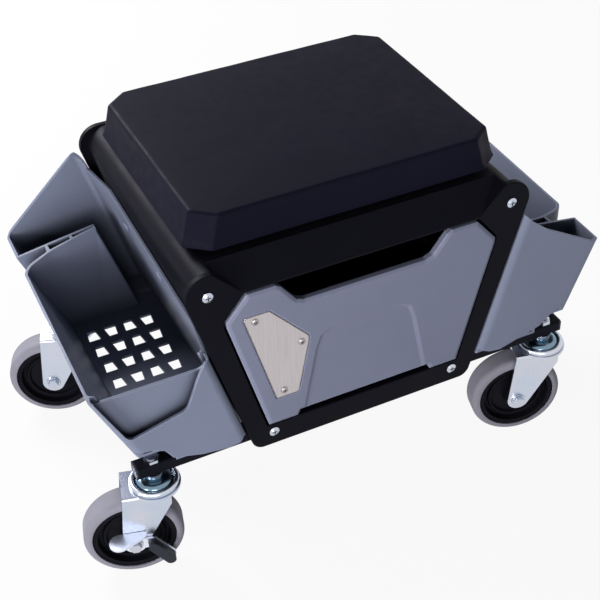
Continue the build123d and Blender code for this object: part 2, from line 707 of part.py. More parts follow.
def tray(crest):
    """Right-hand tray with its narrow bin at the front; crest is the top line of that end wall."""
    step_y = tube_centre_y - tube_width / 2 - tray_wall
    rounded = (tray_end_radius, tray_end_radius)
    outside = tray_prism(
        0, (-tray_end_y, -panel_shoulder_y, -bend_y, bend_y, panel_shoulder_y, tray_end_y), rounded, rounded
    )
    bins = tray_prism(
        tray_wall, (-stop, -panel_shoulder_y, -bend_y, bend_y, scoop_wall_y), rounded, rounded
    )
    scoop = tray_prism(
        tray_wall, (scoop_wall_y + tray_wall, panel_shoulder_y, stop), (0, 0), (0, tray_end_radius)
    )
    # the floor climbs over the cross tubes, and again over the stem nuts
    with BuildPart() as steps:
        for side in (-1, 1):
            for inner_x, rise in ((within_x, floor_rise), (floor_nut_x - tray_wall, floor_nut_rise)):
                with BuildSketch(Plane.XY.offset(beneath_z)):
                    with Locations((inner_x, side * (step_y - tray_wall))):
                        Rectangle(beyond_x, tray_end_y, align=(Align.MIN, Align.MIN if side > 0 else Align.MAX))
                extrude(amount=tube_top_z + rise + tray_wall - beneath_z)
    # hollow tongue between the narrow bin and the big bin, its free edge leaning towards the body
    with BuildPart() as tongue:
        with BuildSketch(Plane.XY.offset(beneath_z)) as plan:
            Polygon(
                (within_x, -divider_y),
                (beyond_x, -divider_y),
                (beyond_x, notch_edge_y),
                (divider_face[0][0], notch_edge_y),
                *divider_face,
                (within_x, divider_face[-1][1]),
                align=None,
            )
            for corner, radius in zip(divider_face, divider_face_radii):
                fillet(plan.vertices().sort_by_distance(corner)[0], radius)
        extrude(amount=above_z - beneath_z)
        lean = (divider_tip[0] - divider_foot[0]) / (divider_tip[1] - divider_foot[1])
        with BuildSketch(xz(notch_edge_y)):
            Polygon(
                (within_x - 1, beneath_z),
                (divider_foot[0] + lean * (beneath_z - divider_foot[1]), beneath_z),
                (divider_tip[0] + lean * (above_z - divider_tip[1]), above_z),
                (within_x - 1, above_z),
                align=None,
            )
        extrude(amount=divider_y + notch_edge_y + 1, mode=Mode.SUBTRACT)
        fillet(
            tongue.faces().sort_by(Axis.X)[0].edges().sort_by(SortBy.LENGTH)[-2:],
            divider_nose_radius,
        )
    with BuildPart() as hollow:
        add(bins)
        add(steps.part, mode=Mode.SUBTRACT)
        add(tongue.part, mode=Mode.SUBTRACT)
    with BuildPart() as scoop_hollow:
        add(scoop)
        add(steps.part, mode=Mode.SUBTRACT)
    with BuildPart() as part:
        add(outside)
        add(hollow.part, mode=Mode.SUBTRACT)
        add(scoop_hollow.part, mode=Mode.SUBTRACT)
        # underside, clear of the cross tubes and stem nuts
        with BuildSketch(Plane.XY.offset(beneath_z)):
            Rectangle(beyond_x, 2 * stop, align=(Align.MIN, Align.CENTER))
        extrude(amount=tray_underside_z - beneath_z, mode=Mode.SUBTRACT)
        for side in (-1, 1):
            for inner_x, rise in ((0.0, floor_rise), (floor_nut_x, floor_nut_rise)):
                with BuildSketch(Plane.XY.offset(beneath_z)):
                    with Locations((inner_x, side * step_y)):
                        Rectangle(beyond_x, stop - step_y, align=(Align.MIN, Align.MIN if side > 0 else Align.MAX))
                extrude(amount=tube_top_z + rise - beneath_z, mode=Mode.SUBTRACT)
        # end walls: sloping lower edge, rounded beside the body and notched round the caster stem
        for wall_y, foot in ((tray_end_y + 1, scoop_foot), (-stop, narrow_foot)):
            with BuildSketch(xz(wall_y)):
                Polygon(
                    (within_x, beneath_z),
                    (within_x, foot[0][1]),
                    *foot,
                    (beyond_x, foot[-1][1] + lean * (beyond_x - foot[-1][0])),
                    (beyond_x, beneath_z),
                    align=None,
                )
            extrude(amount=tray_wall + 1, mode=Mode.SUBTRACT)
        # divider top, lower than the body side of the tray
        with BuildSketch(xz(notch_edge_y)):
            Polygon(
                (tray_reach_narrow + 5, tray_rim_z),
                (tray_reach_narrow + 5, above_z),
                (divider_tip[0] - 11, above_z),
                (divider_tip[0] - 11, divider_tip[1] + 1),
                divider_tip,
                align=None,
            )
        extrude(amount=divider_y + notch_edge_y, mode=Mode.SUBTRACT)
        # pockets for screwdrivers in the divider, and the open notch at its outer end
        with BuildSketch(Plane.XY.offset(tray_rim_z - slot_depth)) as pockets:
            for near, far in (first_pocket, second_pocket):
                Polygon((near[0], pocket_back_y), (far[0], pocket_back_y), far, near, align=None)
            Polygon(
                (notch_end[0], pocket_back_y),
                (beyond_x, pocket_back_y),
                (beyond_x, notch_edge_y),
                (notch_corner[0], notch_edge_y),
                notch_corner,
                notch_end,
                align=None,
            )
            fillet(pockets.vertices().sort_by_distance(notch_corner)[0], notch_radius)
        extrude(amount=above_z - tray_rim_z + slot_depth, mode=Mode.SUBTRACT)
        # crest of the narrow end wall
        with BuildSketch(xz(-tray_end_y + crest_depth)):
            Polygon(
                (beyond_x, crest[0][1]),
                *crest,
                (crest[-1][0], above_z),
                (beyond_x, above_z),
                align=None,
            )
        extrude(amount=crest_depth + 1, mode=Mode.SUBTRACT)
        # wall between the big bin and the scoop
        with BuildSketch(xz(scoop_wall_y + tray_wall)) as wall_top:
            Polygon(
                (scoop_wall_corner[0], scoop_wall_z),
                (scoop_wall_end[0], scoop_wall_z),
                (scoop_wall_end[0], above_z),
                (scoop_wall_corner[0], above_z),
                align=None,
            )
            for x, radius in (scoop_wall_corner, scoop_wall_end):
                fillet(wall_top.vertices().sort_by_distance((x, scoop_wall_z))[0], radius)
        extrude(amount=tray_wall, mode=Mode.SUBTRACT)
        # scoop lip
        with BuildSketch(xz(tray_end_y + 1)) as lip:
            Polygon(
                (within_x, lip_line[0][1]),
                *lip_line,
                (lip_line[-1][0], above_z),
                (within_x, above_z),
                align=None,
            )
            fillet(
                [lip.vertices().sort_by_distance(corner)[0] for corner in lip_line[2:4]],
                lip_radius,
            )
        extrude(amount=tray_end_y + 1 - scoop_wall_y - tray_wall, mode=Mode.SUBTRACT)
        # drain and grip holes in the floor of the big bin
        with BuildSketch(Plane.XY.offset(tray_underside_z - 1)):
            for column, x in enumerate(hole_columns):
                near, far = (hole_slim, hole_wide) if column % 2 else (hole_wide, hole_slim)
                with Locations(*[(x, y) for y in hole_rows]):
                    Polygon(
                        (-near, -hole_deep), (near, -hole_deep), (far, hole_deep), (-far, hole_deep), align=None
                    )
        extrude(amount=tray_wall + 2, mode=Mode.SUBTRACT)
        for side, y in side_screw_spots:
            if side > 0:
                with Locations(side_screw_place(side, y)):
                    Cylinder(screw_radius + shaft_fit, 4 * tray_wall, mode=Mode.SUBTRACT)
    return part.part


with BuildPart() as right_tray:
    add(tray(right_crest))
export(right_tray.part, "right_tray")
with BuildPart() as left_tray:
    add(tray(left_crest), rotation=(0, 0, 180))
export(left_tray.part, "left_tray")


# ---------------------------------------------------------------- caster stems
with BuildPart() as one_stem:
    with BuildSketch(Plane.XZ):
        cup_z = fork_top_z + race_gap
        with BuildLine():
            Polyline(
                (dome_radius, dome_top_z),
                (collar_radius, dome_top_z),
                (collar_radius, tube_bottom_z),
                (stem_radius, tube_bottom_z),
                (stem_radius, stem_top_z),
                (0, stem_top_z),
                (0, fork_plate_z - race_gap - kingpin_head_height),
                (kingpin_head_radius, fork_plate_z - race_gap - kingpin_head_height),
                (kingpin_head_radius, fork_plate_z - race_gap),
                (kingpin_radius, fork_plate_z - race_gap),
                (kingpin_radius, cup_z),
                (cup_radius, cup_z),
                (cup_radius, cup_z + cup_rim),
            )
            RadiusArc((cup_radius, cup_z + cup_rim), (dome_radius, dome_top_z), -(dome_top_z - cup_z))
        make_face()
    revolve(axis=Axis.Z)
stem_places = [(x, y) for x, y in stems.values()]
with BuildPart() as caster_stems:
    with Locations(*stem_places):
        add(one_stem.part)
export(caster_stems.part, "caster_stems")

with BuildPart() as stem_nuts:
    with BuildSketch(Plane.XY.offset(tube_top_z)):
        with Locations(*stem_places):
            RegularPolygon(stem_nut_radius, 6)
            Circle(stem_radius + shaft_fit, mode=Mode.SUBTRACT)
    extrude(amount=stem_nut_height)
    chamfer(stem_nuts.faces().sort_by(Axis.Z)[-1].outer_wire().edges(), 0.6)
export(stem_nuts.part, "stem_nuts")


# ---------------------------------------------------------------- casters, about a stem at the origin
def on_axle(part):
    return Location((caster_trail, 0, wheel_radius)) * part


with BuildPart() as fork:
    with BuildSketch(Plane.XY.offset(fork_plate_z)):
        Circle(fork_disc_radius)
        with Locations((fork_reach / 2, 0)):
            Rectangle(fork_reach, 2 * fork_half)
        Circle(kingpin_radius + shaft_fit, mode=Mode.SUBTRACT)
    extrude(amount=fork_sheet)
    for leg_y in (fork_half, fork_sheet - fork_half):
        with BuildSketch(xz(leg_y)):
            with Locations(((fork_heel + fork_reach) / 2, fork_top_z - fork_skirt / 2)):
                Rectangle(fork_reach - fork_heel, fork_skirt)
            with Locations((caster_trail, wheel_radius)):
                Circle(fork_eye_radius)
            make_hull()
            with Locations((caster_trail, wheel_radius)):
                Circle(axle_radius, mode=Mode.SUBTRACT)
        extrude(amount=fork_sheet)
    bends = fork.edges().filter_by(Axis.X).group_by(Axis.Z)[-1]
    fillet([bends.sort_by(Axis.Y)[0], bends.sort_by(Axis.Y)[-1]], fork_bend_radius)
    with BuildSketch(Plane.XY.offset(fork_top_z)):
        Circle(race_radius)
        Circle(cup_radius + 2 * race_gap, mode=Mode.SUBTRACT)
    extrude(amount=race_height)
    fillet(fork.faces().sort_by(Axis.Z)[-1].edges().sort_by(SortBy.LENGTH)[-1], race_height / 2)
    fillet(fork.faces().sort_by(Axis.Z)[-1].edges().sort_by(SortBy.LENGTH)[0], race_height / 4)

with BuildPart() as tyre:
    with BuildSketch() as tyre_section:
        with Locations(((hub_radius + wheel_radius) / 2, 0)):
            Rectangle(wheel_radius - hub_radius, wheel_width)
        fillet(tyre_section.vertices().group_by(Axis.X)[-1], tyre_shoulder)
    revolve(axis=Axis.Y)

with BuildPart() as hub:
    with BuildSketch():
        rim_inner = hub_radius - hub_rim
        half_section = [
            (bush_radius, hub_boss_half),
            (hub_boss_radius, hub_boss_half),
            (hub_boss_radius + 1.5, hub_web),
            (hub_ring_radius - 2.5, hub_web),
            (hub_ring_radius - 1, hub_ring_half),
            (hub_ring_radius + 1, hub_ring_half),
            (hub_ring_radius + 2.5, hub_web),
            (rim_inner, hub_web),
            (rim_inner + 1.5, hub_half),
            (hub_radius, hub_half),
        ]
        Polygon(*half_section, *[(x, -y) for x, y in reversed(half_section)], align=None)
    revolve(axis=Axis.Y)

with BuildPart() as bush:
    with BuildSketch(xz(bush_half)):
        Circle(bush_radius)
        Circle(axle_radius + shaft_fit, mode=Mode.SUBTRACT)
    extrude(amount=2 * bush_half)


def axle(head_y):
    """Axle bolt about the origin; the head on the +Y side stands on a washer at head_y."""
    with BuildPart() as bolt:
        with BuildSketch(xz(head_y)):
            Circle(axle_radius)
        extrude(amount=head_y + fork_half)
        for face_y, away in ((head_y, -1), (-fork_half, 1)):
            with BuildSketch(xz(face_y)):
                Circle(axle_washer_radius)
            extrude(amount=away * axle_washer)
            with BuildSketch(xz(face_y)):
                RegularPolygon(axle_head_radius, 6)
            extrude(amount=away * (axle_washer + axle_head))
    return bolt.part


brake_y = fork_half + brake_gap
with BuildPart() as brake_lever:
    with BuildSketch(xz(brake_y + brake_sheet)):
        with Locations((caster_trail, wheel_radius)):
            Circle(brake_hub_radius)
        with Locations((caster_trail + (brake_tread_x + brake_toe_x) / 2, brake_tread_z - brake_shelf[1] / 2)):
            Rectangle(*brake_shelf)
        make_hull()
    extrude(amount=brake_sheet)
    # arm from the axle to the covered toe
    with BuildSketch(xz(brake_y + brake_sheet)):
        with Locations((caster_trail, wheel_radius)):
            Circle(axle_washer_radius)
        with Locations(brake_neck):
            Circle(brake_neck_radius + brake_edge)
        make_hull()
    extrude(amount=brake_sheet)
    with BuildSketch(xz(brake_y + brake_sheet)):
        with Locations(brake_neck):
            Circle(brake_neck_radius + brake_edge)
        with Locations(brake_tip):
            Circle(brake_tip_radius + brake_edge)
        make_hull()
    extrude(amount=brake_sheet)
    with BuildSketch(xz(brake_y + brake_sheet)):
        with Locations((caster_trail, wheel_radius)):
            Circle(axle_radius + shaft_fit)
    extrude(amount=brake_sheet, mode=Mode.SUBTRACT)
    with BuildSketch(Plane.XY.offset(brake_tread_z)):
        with Locations((caster_trail + brake_tread_x, brake_y + brake_tread_radius)):
            Circle(brake_tread_radius)
        with Locations((caster_trail + brake_toe_x, brake_y + brake_toe_radius)):
            Circle(brake_toe_radius)
        make_hull()
    extrude(amount=-brake_sheet)
with BuildPart() as brake_cover_pad:
    with BuildSketch(xz(brake_y + brake_sheet + brake_cover)):
        with Locations(brake_neck):
            Circle(brake_neck_radius)
        with Locations(brake_tip):
            Circle(brake_tip_radius)
        make_hull()
        with Locations((caster_trail, wheel_radius)):
            Circle(axle_washer_radius + 1, mode=Mode.SUBTRACT)
    extrude(amount=brake_cover)

for corner, (x, y) in stems.items():
    place = Location((x, y, 0), (0, 0, headings[corner]))
    export(place * fork.part, f"fork_{corner}")
    export(place * on_axle(tyre.part), f"tyre_{corner}")
    export(place * on_axle(hub.part), f"hub_{corner}")
    export(place * on_axle(bush.part), f"bush_{corner}")
    if corner in braked:
        export(place * on_axle(axle(brake_y + brake_sheet + brake_gap)), f"axle_{corner}")
        export(place * brake_lever.part, f"brake_lever_{corner}")
        export(place * brake_cover_pad.part, f"brake_cover_{corner}")
    else:
        export(place * on_axle(axle(fork_half)), f"axle_{corner}")


# ---------------------------------------------------------------- fasteners
def pan_screw(length, radius=screw_head_radius, height=screw_head_height):
    """Cross-head screw along z, the underside of its head at z = 0."""
    with BuildPart() as screw:
        with BuildSketch():
            Circle(radius)
        extrude(amount=height)
        chamfer(screw.edges().sort_by(Axis.Z)[-1], height * 0.5, height * 0.9)
        with BuildSketch(Plane.XY.offset(height)):
            Rectangle(radius, drive_slot)
            Rectangle(drive_slot, radius)
        extrude(amount=-height / 2, mode=Mode.SUBTRACT)
        with BuildSketch():
            Circle(screw_radius)
        extrude(amount=-length)
    return screw.part


def hex_bolt(length, nut_at=0.0):
    """Hexagon bolt pointing up, the top of its head at z = 0, with a nut above nut_at."""
    with BuildPart() as bolt:
        with BuildSketch():
            RegularPolygon(bolt_head_radius, 6)
        extrude(amount=-bolt_head_height)
        with BuildSketch():
            Circle(bolt_radius)
        extrude(amount=length)
        if nut_at:
            with BuildSketch(Plane.XY.offset(nut_at)):
                RegularPolygon(bolt_head_radius, 6)
            extrude(amount=bolt_head_height)
    return bolt.part


panel_screw_length = panel_thickness + 5 * screw_radius
foot_screw_length = panel_thickness + tube_wall
with BuildPart() as panel_screws:
    for face_y, turn in ((body_front_y, 90), (body_rear_y, -90)):
        extra = 0 if turn > 0 else rear_inner_y - tube_centre_y - tube_width / 2
        for side in (1, -1):
            with Locations(Location((side * panel_screw_top[0], face_y, panel_screw_top[1]), (turn, 0, 0))):
                add(pan_screw(panel_screw_length))
            with Locations(Location((side * panel_screw_foot[0], face_y, panel_screw_foot[1]), (turn, 0, 0))):
                add(pan_screw(foot_screw_length + extra))
export(panel_screws.part, "panel_screws")

with BuildPart() as trim_screws:
    for x, z in trim_screw_spots:
        with Locations(Location((x, trim_face_y, z), (90, 0, 0))):
            add(pan_screw(front_thickness - trim_depth, trim_head_radius, trim_head_height))
export(trim_screws.part, "trim_screws")

with BuildPart() as drawer_screws:
    for x, z in box_screw_spots:
        with Locations(Location((x, drawer_back_y + box_wall, z), (-90, 0, 0))):
            add(pan_screw(box_wall + box_screw_bite))
export(drawer_screws.part, "drawer_screws")

with BuildPart() as tray_screws:
    for side, y in side_screw_spots:
        with Locations(side_screw_place(side, y)):
            add(pan_screw(2 * tray_wall + 2 * wrap_wall))
export(tray_screws.part, "tray_screws")

with BuildPart() as base_bolts:
    with Locations(*[(x, y, wrap_bottom_z) for x, y in base_bolt_spots]):
        add(hex_bolt(tube_top_z - wrap_bottom_z + bolt_head_height + 1, tube_top_z - wrap_bottom_z))
export(base_bolts.part, "base_bolts")

with BuildPart() as seat_bolts:
    with Locations(*[(x, y, wrap_top_z - wrap_wall) for x, y in seat_bolt_spots]):
        add(hex_bolt(wrap_wall + board_thickness - 0.5))
export(seat_bolts.part, "seat_bolts")
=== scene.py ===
import math

import bpy
from bpy.props import FloatProperty, FloatVectorProperty, PointerProperty
from bpy.types import Operator, Panel, PropertyGroup
from mathutils import Matrix, Vector, noise


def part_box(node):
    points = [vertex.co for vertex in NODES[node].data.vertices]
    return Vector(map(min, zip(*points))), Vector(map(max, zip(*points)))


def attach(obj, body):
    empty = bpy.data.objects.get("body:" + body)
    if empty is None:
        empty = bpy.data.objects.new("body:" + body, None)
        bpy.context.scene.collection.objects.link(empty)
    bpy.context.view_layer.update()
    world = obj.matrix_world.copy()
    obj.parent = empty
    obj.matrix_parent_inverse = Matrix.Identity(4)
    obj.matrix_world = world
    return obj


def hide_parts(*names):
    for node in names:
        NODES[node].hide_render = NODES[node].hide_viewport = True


bl_info = {
    "name": "Creeper Seat",
    "version": (1, 0, 0),
    "blender": (4, 5, 0),
    "location": "3D View > Sidebar > Creeper Seat",
    "description": "Padded seat, finishes and studio for a rolling mechanic's seat",
    "category": "Object",
}

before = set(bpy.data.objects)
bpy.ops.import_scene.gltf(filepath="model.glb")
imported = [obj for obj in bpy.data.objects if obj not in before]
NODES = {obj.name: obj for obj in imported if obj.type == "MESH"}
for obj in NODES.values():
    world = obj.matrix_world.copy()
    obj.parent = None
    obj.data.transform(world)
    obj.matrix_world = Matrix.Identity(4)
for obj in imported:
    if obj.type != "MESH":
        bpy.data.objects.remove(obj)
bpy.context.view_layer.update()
CORNERS = ("front_left", "front_right", "rear_left", "rear_right")
MM = 0.001


# ------------------------------------------------------------------ settings
def colour(name, description, default):
    return FloatVectorProperty(name=name, description=description, default=default, size=3,
                               subtype="COLOR", min=0.0, max=1.0)


def length(name, description, default):
    return FloatProperty(name=name, description=description, default=default,
                         subtype="DISTANCE", unit="LENGTH", precision=4)


def angle(name, description, degrees):
    return FloatProperty(name=name, description=description, default=math.radians(degrees),
                         subtype="ANGLE")


def power(name, description, default):
    return FloatProperty(name=name, description=description, default=default, unit="POWER")


class SeatSettings(PropertyGroup):
    """Shape and cover of the padded seat."""

    edge_radius: length("Top edge radius", "Rounding between the sides and the sitting face", 3.5 * MM)
    lip_radius: length("Lip radius", "Rounding of the widest line above the board", 2.8 * MM)
    corner_radius: length("Corner radius", "Rounding of the upright edges of the cut corners", 4.5 * MM)
    crown: length("Crown", "How much the middle of the sitting face stands over its edge", 1.8 * MM)
    pull_in: length("Pull-in", "How far the sides draw in between the corners", 0.8 * MM)
    unevenness: length("Unevenness", "Height of the slow waves in the foam", 0.4 * MM)
    cover: colour("Cover", "Vinyl cover", (0.0054, 0.0050, 0.0118))
    grain: length("Grain", "Size of the cells in the vinyl grain", 0.8 * MM)


class BodySettings(PropertyGroup):
    """Black steel and plastic of the body."""

    panel: colour("Panels", "Front and rear panels", (0.0034, 0.0034, 0.0055))
    shell: colour("Shell", "Wrap-round shell, base and cross tubes", (0.0045, 0.0045, 0.0072))
    lining: colour("Lining", "Drawer box, runners and rods", (0.010, 0.010, 0.012))
    board: colour("Seat board", "Stained plywood under the seat", (0.030, 0.025, 0.021))


class PlasticSettings(PropertyGroup):
    """Grey moulded plastic of the trays and the drawer front, and the trim plate."""

    grey: colour("Grey", "Moulded plastic of the trays", (0.166, 0.184, 0.256))
    front: colour("Drawer front", "Moulded plastic of the drawer front", (0.164, 0.176, 0.248))
    stainless: colour("Trim plate", "Brushed stainless steel", (0.58, 0.535, 0.55))


class CasterSettings(PropertyGroup):
    """Finishes of the casters and fasteners."""

    zinc: colour("Zinc", "Bright zinc plating", (0.60, 0.62, 0.71))
    race: colour("Race", "Blue zinc of the dome over the swivel race", (0.19, 0.27, 0.34))
    tyre: colour("Tyre", "Grey rubber", (0.205, 0.200, 0.240))
    hub: colour("Hub", "Black plastic of the wheel discs", (0.0045, 0.0045, 0.0065))
    brake_cover: colour("Brake cover", "Grained plastic over the brake lever", (0.016, 0.019, 0.027))


class StudioSettings(PropertyGroup):
    """Camera, surroundings and lamps."""

    eye: FloatVectorProperty(name="Camera place", description="Where the camera stands", size=3,
                             default=(-0.4511, -0.9750, 1.0132), subtype="TRANSLATION", unit="LENGTH")
    azimuth: angle("Azimuth", "Turn of the camera round the seat", -24.76)
    elevation: angle("Elevation", "Tilt of the camera over the horizon", 38.43)
    roll: angle("Roll", "Turn of the camera about its own axis", 1.85)
    lens: FloatProperty(name="Lens", description="Focal length in millimetres", default=76.37)
    ambient: FloatProperty(name="Ambient", description="Strength of the surroundings", default=0.09)
    ambient_tint: colour("Ambient tint", "Colour of the light from all round", (0.78, 0.88, 1.0))
    back: power("Back lamp", "Power of the large lamp above and behind", 74.0)
    key: power("Key lamp", "Power of the lamp in front on the left", 30.5)
    side: power("Side lamp", "Power of the low lamp on the left", 27.0)


# ------------------------------------------------------------------ material tools
COOL_GLOSS = (0.70, 0.74, 1.0, 1.0)  # tint of the gloss on black finishes
STEM_FOOT = (122 * MM, 124 * MM)  # heights between which the caster's dome ends and its stem begins
NOISE_BAND = (0.3, 0.7)  # most of a noise texture lies between these values


def scaled(base, factor):
    """A colour made lighter or darker, channel by channel, never over white."""
    return [min(1.0, channel * factor) for channel in base]


def maths(tree, operation, first, second):
    """Maths node over a texture value and a second value or plain number."""
    node = tree.nodes.new("ShaderNodeMath")
    node.operation = operation
    tree.links.new(first, node.inputs[0])
    if isinstance(second, float):
        node.inputs[1].default_value = second
    else:
        tree.links.new(second, node.inputs[1])
    return node.outputs["Value"]


class Finish:
    """A procedural material; sizes of its patterns are in metres on the object."""

    def __init__(self, name, roughness, metallic=0.0, specular=0.5, cool=False):
        self.material = bpy.data.materials.new(name)
        self.material.use_nodes = True
        self.tree = self.material.node_tree
        self.shader = self.tree.nodes["Principled BSDF"]
        self.shader.inputs["Roughness"].default_value = roughness
        self.shader.inputs["Metallic"].default_value = metallic
        self.shader.inputs["Specular IOR Level"].default_value = specular
        if cool:
            self.shader.inputs["Specular Tint"].default_value = COOL_GLOSS
        self.place = self.tree.nodes.new("ShaderNodeTexCoord").outputs["Object"]
        self.normal = None

    def link(self, output, socket):
        self.tree.links.new(output, socket)

    def base(self, output):
        """Takes the base colour from an output."""
        self.link(output, self.shader.inputs["Base Color"])

    # ---- patterns
    def stretched(self, scale):
        """Object coordinates stretched by a factor along each axis."""
        mapping = self.tree.nodes.new("ShaderNodeMapping")
        mapping.inputs["Scale"].default_value = scale
        self.link(self.place, mapping.inputs["Vector"])
        return mapping.outputs["Vector"]

    def cloud(self, size, detail, place=None, roughness=0.5):
        """Noise with features of the given size."""
        texture = self.tree.nodes.new("ShaderNodeTexNoise")
        texture.inputs["Scale"].default_value = 1.0 / size
        texture.inputs["Detail"].default_value = detail
        texture.inputs["Roughness"].default_value = roughness
        self.link(place or self.place, texture.inputs["Vector"])
        return texture.outputs["Fac"]

    def cells(self, size):
        """Rounded cells of the given size, dark along their borders."""
        texture = self.tree.nodes.new("ShaderNodeTexVoronoi")
        texture.feature = "SMOOTH_F1"
        texture.inputs["Scale"].default_value = 1.0 / size
        texture.inputs["Smoothness"].default_value = 0.35
        self.link(self.place, texture.inputs["Vector"])
        return texture.outputs["Distance"]

    def ramp(self, value, low, high, to_low=0.0, to_high=1.0):
        """Maps a texture value from one range to another, held at its ends."""
        node = self.tree.nodes.new("ShaderNodeMapRange")
        node.inputs["From Min"].default_value = low
        node.inputs["From Max"].default_value = high
        node.inputs["To Min"].default_value = to_low
        node.inputs["To Max"].default_value = to_high
        self.link(value, node.inputs["Value"])
        return node.outputs["Result"]

    def drift(self, size, detail=4.0, place=None, low=0.0, high=1.0):
        """A value that drifts from low to high in clouds of the given size."""
        return self.ramp(self.cloud(size, detail, place), *NOISE_BAND, low, high)

    def tint(self, factor, first, second):
        """Colour that runs from first to second with a texture value."""
        mix = self.tree.nodes.new("ShaderNodeMix")
        mix.data_type = "RGBA"
        mix.inputs["A"].default_value = (*first, 1.0)
        mix.inputs["B"].default_value = (*second, 1.0)
        self.link(factor, mix.inputs["Factor"])
        return mix.outputs["Result"]

    # ---- masks
    def open_share(self, reach, low, high):
        """Runs from 0 to 1 as the openness within reach goes from low to high; this ambient occlusion
        masks the painted shade in hollows and keeps the painted edge highlights off inner corners.
        """
        occlusion = self.tree.nodes.new("ShaderNodeAmbientOcclusion")
        occlusion.samples = 8
        occlusion.inputs["Distance"].default_value = reach
        return self.ramp(occlusion.outputs["AO"], low, high)

    def edge_share(self, full=0.8, none=0.985):
        """1 along sharp outer edges, 0 on the flat: the mask for the painted highlights and painted
        shade along edges.

        Full and none are the cosines between the shaded and the true normal that stand for each.
        """
        facing = self.tree.nodes.new("ShaderNodeVectorMath")
        facing.operation = "DOT_PRODUCT"
        flat = self.tree.nodes.new("ShaderNodeNewGeometry")
        self.link(self.normal, facing.inputs[0])
        self.link(flat.outputs["True Normal"], facing.inputs[1])
        edge = self.ramp(facing.outputs["Value"], full, none, 1.0, 0.0)
        return maths(self.tree, "MULTIPLY", edge, self.open_share(2 * MM, 0.75, 0.95))

    def height_share(self, low, high):
        """0 below one height over the floor, 1 above the other."""
        place = self.tree.nodes.new("ShaderNodeNewGeometry").outputs["Position"]
        split = self.tree.nodes.new("ShaderNodeSeparateXYZ")
        self.link(place, split.inputs["Vector"])
        return self.ramp(split.outputs["Z"], low, high)

    # ---- coats
    def soft_edges(self, radius):
        """Shades sharp edges as if rounded to the given radius."""
        rounding = self.tree.nodes.new("ShaderNodeBevel")
        rounding.samples = 6
        rounding.inputs["Radius"].default_value = radius
        self.normal = rounding.outputs["Normal"]
        self.link(self.normal, self.shader.inputs["Normal"])

    def paint(self, base, variation, size):
        """Base colour that drifts lighter and darker in slow clouds."""
        drift = self.drift(size)
        self.base(self.tint(drift, scaled(base, 1 - variation), scaled(base, 1 + variation)))

    def over(self, mask, second):
        """Lays a second colour over the base colour by a mask."""
        under = self.shader.inputs["Base Color"].links[0].from_socket
        mix = self.tree.nodes.new("ShaderNodeMix")
        mix.data_type = "RGBA"
        self.link(under, mix.inputs["A"])
        mix.inputs["B"].default_value = (*second, 1.0)
        self.link(mask, mix.inputs["Factor"])
        self.base(mix.outputs["Result"])

    def polish(self, low, high, size, place=None):
        """Roughness that drifts between two values."""
        self.link(self.drift(size, 4.0, place, low, high), self.shader.inputs["Roughness"])

    def relief(self, height, depth, strength):
        """Adds a bump of the given depth from a texture value."""
        bump = self.tree.nodes.new("ShaderNodeBump")
        bump.inputs["Strength"].default_value = strength
        bump.inputs["Distance"].default_value = depth
        self.link(height, bump.inputs["Height"])
        if self.normal:
            self.link(self.normal, bump.inputs["Normal"])
        self.normal = bump.outputs["Normal"]
        self.link(self.normal, self.shader.inputs["Normal"])


def dress(finish, *nodes):
    """Gives CAD nodes a finish."""
    for node in nodes:
        for slot in NODES[node].material_slots:
            slot.material = finish.material


# ------------------------------------------------------------------ finishes
def seat_vinyl(base, grain):
    """Grained black vinyl with a low gloss over soft foam."""
    finish = Finish("seat_vinyl", roughness=0.5, specular=0.04, cool=True)
    finish.paint(base, variation=0.1, size=80 * MM)
    finish.polish(0.44, 0.58, size=12 * MM)
    finish.relief(finish.cells(grain), depth=0.07 * MM, strength=0.7)
    finish.relief(finish.cloud(grain / 3, detail=2.0), depth=0.03 * MM, strength=0.5)
    finish.relief(finish.cloud(18 * MM, detail=2.0), depth=0.4 * MM, strength=0.15)
    return finish


def powder_coat(name, base):
    """Fine orange peel in satin black, with a painted highlight along its edges."""
    finish = Finish(name, roughness=0.48, specular=0.05, cool=True)
    finish.soft_edges(0.8 * MM)
    finish.paint(base, variation=0.12, size=70 * MM)
    # painted highlight: sharp outer edges are painted four times lighter than the coat
    finish.over(finish.edge_share(), scaled(base, 4))
    finish.polish(0.44, 0.56, size=50 * MM)
    finish.relief(finish.cloud(0.9 * MM, detail=2.0), depth=0.04 * MM, strength=0.5)
    finish.relief(finish.cloud(6 * MM, detail=2.0), depth=0.08 * MM, strength=0.35)
    return finish


def plywood(base):
    """Stained board whose grain runs along the seat."""
    finish = Finish("plywood", roughness=0.62, specular=0.3)
    along = finish.stretched((0.08, 1.0, 1.0))
    grain = finish.cloud(4 * MM, detail=6.0, place=along, roughness=0.65)
    finish.base(finish.tint(finish.ramp(grain, *NOISE_BAND), scaled(base, 0.62), base))
    finish.relief(grain, depth=0.1 * MM, strength=0.5)
    return finish


def moulded(name, base, gloss=0.44, edge=1.1 * MM):
    """Fine-grained moulded plastic whose rounded edges catch the light, with a painted highlight along
    its sharp outer edges.
    """
    finish = Finish(name, roughness=gloss, specular=0.14)
    finish.soft_edges(edge)
    finish.paint(base, variation=0.045, size=90 * MM)
    # painted highlight: sharp outer edges are painted 2.1 times lighter than the plastic
    finish.over(finish.edge_share(), scaled(base, 2.1))
    finish.polish(gloss - 0.04, gloss + 0.08, size=30 * MM)
    finish.relief(finish.cells(0.7 * MM), depth=0.03 * MM, strength=0.45)
    finish.relief(finish.cloud(30 * MM, detail=1.0), depth=0.4 * MM, strength=0.25)
    return finish


def tray_plastic(base):
    """The moulded grey, with painted shade down inside the bins."""
    finish = moulded("tray_grey", base)
    # painted shade: the colour falls to 0.3 of the grey where ambient occlusion finds the bins closed
    # in
    finish.over(finish.open_share(110 * MM, 0.66, 0.2), scaled(base, 0.3))
    return finish


